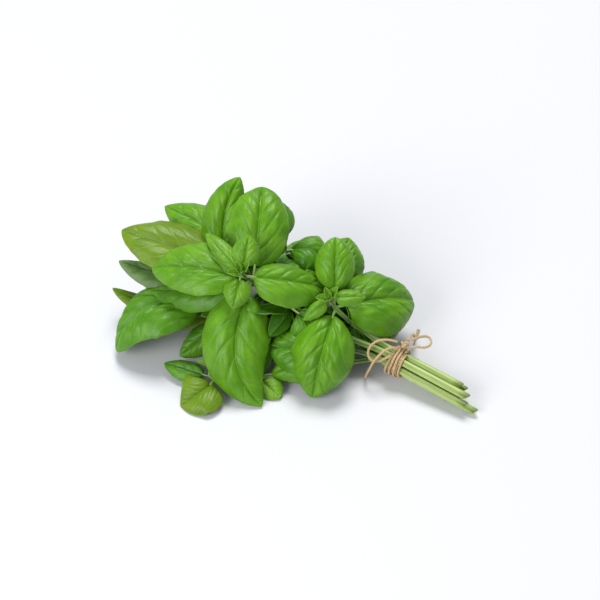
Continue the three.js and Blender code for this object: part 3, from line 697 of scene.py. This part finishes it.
def leaf_parts(controls, side, width, stalk, cup, tone, columns, rows, veins, pucker, root=None,
               wave=1.0, curl=0, taper=0.7):
    """A blade laid along a curved midrib, from a flat grid, with its stalk and the rib below it. Millimetres.
    Its UV map counts the side veins along the blade, and holds the share of the way out to the margin."""
    bpy.ops.mesh.primitive_grid_add(x_subdivisions=columns, y_subdivisions=rows, size=2)
    blade = bpy.context.object
    mesh = blade.data
    grid = vertices_of(mesh)
    u = np.sign(grid[:, 0]) * np.abs(grid[:, 0]) ** GATHER
    v = (grid[:, 1] + 1) / 2
    q = np.clip(v / 2 + (1 - np.cos(math.pi * v)) / 4, 0, 1)
    length = np.linalg.norm(controls[3] - controls[0])
    share = stalk / length
    blade_length = length - stalk
    wide = outline(q, taper)
    phase = luck.uniform(0, 6)
    half = np.maximum(0.35, wide * width / 2)
    a = np.abs(u)
    out = a * half

    def vein_count(left):
        rise = out + 0.6 * out**2 / (width / 2)
        wander = 0.1 * np.sin(9 * q + phase + np.where(left, 2, 0))
        return veins * (q * blade_length - rise) / blade_length + 0.4 + wander + np.where(left, 0.25, 0)

    n = vein_count(grid[:, 0] < 0)
    from_vein = np.abs(n - np.rint(n))
    pillow = 1 - (1 - 2 * from_vein) ** 4
    inside = np.clip(a / 0.2, 0, 1) * (1 - a**2) * np.clip(q / 0.1, 0, 1) * np.clip((1 - q) / 0.2, 0, 1)
    small = 0.2 * pillow * np.sin(out * 1.15 + 2.3 * np.floor(n) + phase)
    relief = pucker * width * inside * (pillow - 0.6 + small)
    relief -= CREASE_DEPTH * np.exp(-(out / CREASE_WIDTH) ** 2) * (1 - q) * min(1, width / 25)
    ripple = wave * MARGIN_WAVE * width * a**3 * wide * (
        np.sin(15 * q + phase + 2 * u) + 0.6 * np.sin(27 * q - phase - 1.5 * u))
    tip_curl = curl * np.clip((q - 0.5) / 0.5, 0, 1) ** 2
    lift = wide * (DOME * width * a * (1 - a) - cup * a**CUP_POWER) + relief + ripple - tip_curl
    half = half * (1 + 0.01 * np.cos(2 * math.pi * n) * np.clip(q / 0.2, 0, 1))
    middle, tangents = bezier(controls, share + (1 - share) * q)
    up = unit(np.cross(side, tangents))
    across = np.cross(tangents, up)
    places = middle + across * (u * half)[:, None] + up * lift[:, None]
    lay(mesh, (above_table(places) + PLACE) * MM)

    corner = np.empty(len(mesh.loops), np.int32)
    mesh.loops.foreach_get("vertex_index", corner)
    left_face = grid[corner, 0].reshape(-1, 4).mean(1).repeat(4) < 0
    counts = np.where(left_face, vein_count(True)[corner], vein_count(False)[corner])
    veined = np.stack([counts, u[corner]], axis=1).astype(np.float32)
    mesh.uv_layers.active.data.foreach_set("uv", veined.ravel())
    bpy.ops.object.shade_smooth()
    bpy.ops.object.modifier_add(type="SOLIDIFY")
    thick = blade.modifiers[-1]
    thick.thickness, thick.offset, thick.material_offset = LEAF_THICK * MM, 0, 1
    bpy.ops.object.modifier_apply(modifier=thick.name)
    blade.data.materials.append(upper[tone])
    blade.data.materials.append(lower[tone])

    s = np.linspace(0, RIB_END, max(14, rows // 3))
    middle, tangents = bezier(controls, s)
    up = unit(np.cross(side, tangents))
    on_blade = np.clip((s - share) / (1 - share), 0, 1)
    thin = min(1, width / 26)
    radius = STALK_RADIUS * thin * (1 - 0.25 * np.clip(s / share, 0, 1)) * (1 - on_blade) ** 1.1 + 0.12
    sunk = np.clip(on_blade / 0.04, 0, 1) * (0.95 * radius + 0.5) * thin + 0.15
    line = middle - up * sunk[:, None]
    if root is not None:
        line = np.vstack([root, line])
        radius = np.concatenate([[radius[0] * 1.25], radius])
    rib = rod((above_table(line) + PLACE) * MM, radius * MM, RIB_SIDES)
    # leaves in the darker painted-shade tone take their underside colour for the rib too, instead of the pale
    # stalk, as painted shade
    rib.data.materials.append(lower[tone] if tone == "painted_shade" else stalk_skin)
    return [blade, rib]


# Leaf stalk: the same tissue as the stem, pale green and softly glossy, with faint long streaks.
stalk_skin, tree, output = new_material("basil_leaf_stalk")
place = node(tree, "UVMap")
stretched = node(tree, "Mapping", {"Vector": place.outputs[0], "Scale": (10, 1.5, 1)})
streaks = node(tree, "TexNoise", {"Vector": stretched.outputs[0], "Scale": 1, "Detail": 3})
tissue = node(tree, "MixRGB", {"Fac": streaks.outputs["Fac"], 1: colour("#7FAE45"), 2: colour("#B2D07E")})
surface = node(tree, "BsdfPrincipled", {"Base Color": tissue.outputs[0], "Roughness": 0.45, "IOR": 1.42})
tree.links.new(surface.outputs[0], output.inputs["Surface"])

for sprig, leaves in LEAVES.items():
    route = routes[sprig]
    for leaf, spec in leaves.items():
        t = np.array([share_of_node(route, spec["node"])])
        start = curve_at(route, t)[0]
        tangent = unit(curve_at(route, t + 1e-4) - curve_at(route, t - 1e-4))[0]
        tip = np.array(spec["tip"], float)
        outwards = tip - start
        outwards = unit(outwards - tangent * (outwards @ tangent))
        base = start + outwards * (stem_radius(t[0]) + 0.6)
        chord = tip - base
        side = unit(np.cross(chord, spec["face"]))
        out = unit(np.cross(side, chord))
        bow, sway = spec["bow"], spec.get("sway", (0, 0))
        controls = [
            base,
            base + chord / 3 + out * bow[0] + side * sway[0],
            base + chord * 2 / 3 + out * bow[1] + side * sway[1],
            tip,
        ]
        width = spec["width"]
        tone = spec.get("tone", "green")
        fine = width > BIG or (width > SMALL and tone != "green")
        parts = leaf_parts(
            controls, side, width, spec.get("stalk", 7), spec.get("droop", 0.2 * width), tone,
            columns=60 if fine else 40, rows=96 if fine else 64, veins=4.6 if width > 25 else 3.8,
            pucker=spec.get("pucker", 0.016 if tone == "golden" else 0.034),
            root=start + outwards * 0.5, wave=spec.get("wave", 1.0),
            curl=spec.get("curl", 0.05 * width), taper=spec.get("taper", 0.7),
        )
        piece = joined(f"leaf_{sprig}_{leaf}", parts)
        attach(piece, "root")
        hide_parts(f"{sprig}_leaf_{leaf}")

# ---- Shoot tips and side shoots ----
# Each shoot ends in a cluster of unfolding leaves, in pairs that stand square to each other. They are the
# lightest green, folded along the midrib, and the inner pairs are still closed over the bud. Smaller side
# shoots of the same make grow where the big leaves leave the stem, and fill the inside of the bunch. Their
# leaves, and the ribs below them, get a darker copy of the leaf colours: painted shade for the inside of the
# bunch.
TIP_PAIRS = ((11, 6.5, 52), (9, 5, 36), (6.5, 4, 22), (4.5, 3, 10))  # length, width and lean from the shoot
SIDE_PAIRS = ((24, 15, 48), (19, 11, 28), (10, 6, 15))
SIDE_SHOOT_LENGTH = 1.5  # millimetres from the stem's middle to the shoot's first pair
SIDE_SHOOTS = {  # for a node of the stem: the way the shoot points and its size
    "crown": {0: ((-0.6, -0.3, -0.3), 1.2), 1: ((-0.35, -0.6, -0.45), 1.4)},
    "shoulder": {0: ((0.1, -0.3, -0.8), 0.8)},
    "left": {0: ((-0.8, 0.0, -0.2), 1.1), 1: ((-0.3, 0.1, 0.5), 1.3)},
    "front": {0: ((-0.8, 0.3, 0.3), 1.0), 1: ((-0.6, 0.5, 0.4), 1.2)},
    "rear_left": {0: ((-0.6, -0.2, 0.3), 1.3), 1: ((-0.7, -0.3, 0.1), 1.2)},
    "rear": {0: ((-0.6, -0.1, 0.2), 1.6), 1: ((-0.9, -0.1, 0.5), 1.3)},
    "base": {0: ((-0.6, 0.3, 0.4), 1.2), 1: ((-0.6, -0.4, 0.5), 1.3)},
}


def unfolding(end, axis, pairs, tone, fold):
    """Pairs of small leaves round the end of a shoot. fold is how far their margins turn down, as a share
    of their width; a fold below zero turns them up."""
    first = unit(np.cross(axis, [0.3, -0.5, 0.2]))
    second = np.cross(axis, first)
    parts = []
    for pair, (length, width, lean) in enumerate(pairs):
        for half_turn in (0, 1):
            turn = math.radians(90 * pair + 180 * half_turn + luck.uniform(-14, 14))
            radial = math.cos(turn) * first + math.sin(turn) * second
            lean_now = math.radians(lean + luck.uniform(-5, 5))
            tip = end + length * (math.cos(lean_now) * axis + math.sin(lean_now) * radial)
            base = end + 0.5 * radial + 0.4 * pair * axis
            chord = tip - base
            face = math.cos(lean_now) * -radial + math.sin(lean_now) * axis
            side = unit(np.cross(chord, face))
            out = unit(np.cross(side, chord))
            controls = [
                base,
                base + chord / 3 - out * 0.12 * length,
                base + chord * 2 / 3 - out * 0.08 * length,
                tip,
            ]
            parts += leaf_parts(
                controls, side, width, 0.06 * length, fold * width, tone,
                columns=14, rows=20, veins=4, pucker=0.03,
            )
    return parts


for sprig, route in routes.items():
    end, before = curve_at(route, [1.0, 0.999])
    piece = joined(f"shoot_{sprig}", unfolding(end, unit(end - before), TIP_PAIRS, "young", fold=-0.3))
    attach(piece, "root")
    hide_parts(f"{sprig}_shoot_tip")
    for number, (direction, size) in SIDE_SHOOTS[sprig].items():
        axis = unit(np.array(direction))
        end = curve_at(route, [share_of_node(route, number)])[0] + SIDE_SHOOT_LENGTH * axis
        pairs = [(size * length, size * width, lean) for length, width, lean in SIDE_PAIRS]
        # the side shoots get the darker tone of painted shade, for the shadow inside the bunch
        piece = joined(f"side_shoot_{sprig}_{number}", unfolding(end, axis, pairs, "painted_shade", fold=-0.1))
        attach(piece, "root")

# ---- Table and light ----
# A plain pale table, one large soft lamp above and a little behind the bunch, and even light all round.
bpy.ops.mesh.primitive_plane_add(size=8)
table = bpy.context.object
table.name = "table"
matt_white, tree, output = new_material("matt_white_table")
surface = node(tree, "BsdfPrincipled", {"Base Color": colour("#DDDDDF"), "Roughness": 0.9})
tree.links.new(surface.outputs[0], output.inputs["Surface"])
table.data.materials.append(matt_white)

world = bpy.data.worlds.new("even_light")
bpy.context.scene.world = world
world.use_nodes = True
tree = world.node_tree
sky = tree.nodes["Background"]
sky.inputs["Color"].default_value = colour("#EBF1FC")
sky.inputs["Strength"].default_value = 0.4
backdrop = node(tree, "Background", {"Color": colour("#F4F4F4"), "Strength": 1.0})
seen = node(tree, "LightPath")
either = node(tree, "MixShader", {
    0: seen.outputs["Is Camera Ray"], 1: sky.outputs[0], 2: backdrop.outputs[0],
})
tree.links.new(either.outputs[0], tree.nodes["World Output"].inputs["Surface"])


def soft_lamp(place, size, watts):
    """A square lamp that faces the bunch."""
    place = Vector(place)
    bpy.ops.object.light_add(
        type="AREA", location=place, rotation=place.to_track_quat("Z", "Y").to_euler())
    lamp = bpy.context.object.data
    lamp.shape, lamp.size, lamp.energy = "SQUARE", size, watts


soft_lamp((-0.6, 1.8, 4.4), size=2.0, watts=190)
# A weaker screen on the near side lights the faces that the lamp leaves in shade.
soft_lamp((-0.7, -1.8, 1.2), size=1.2, watts=32)
bpy.context.scene.view_settings.view_transform = "Standard"
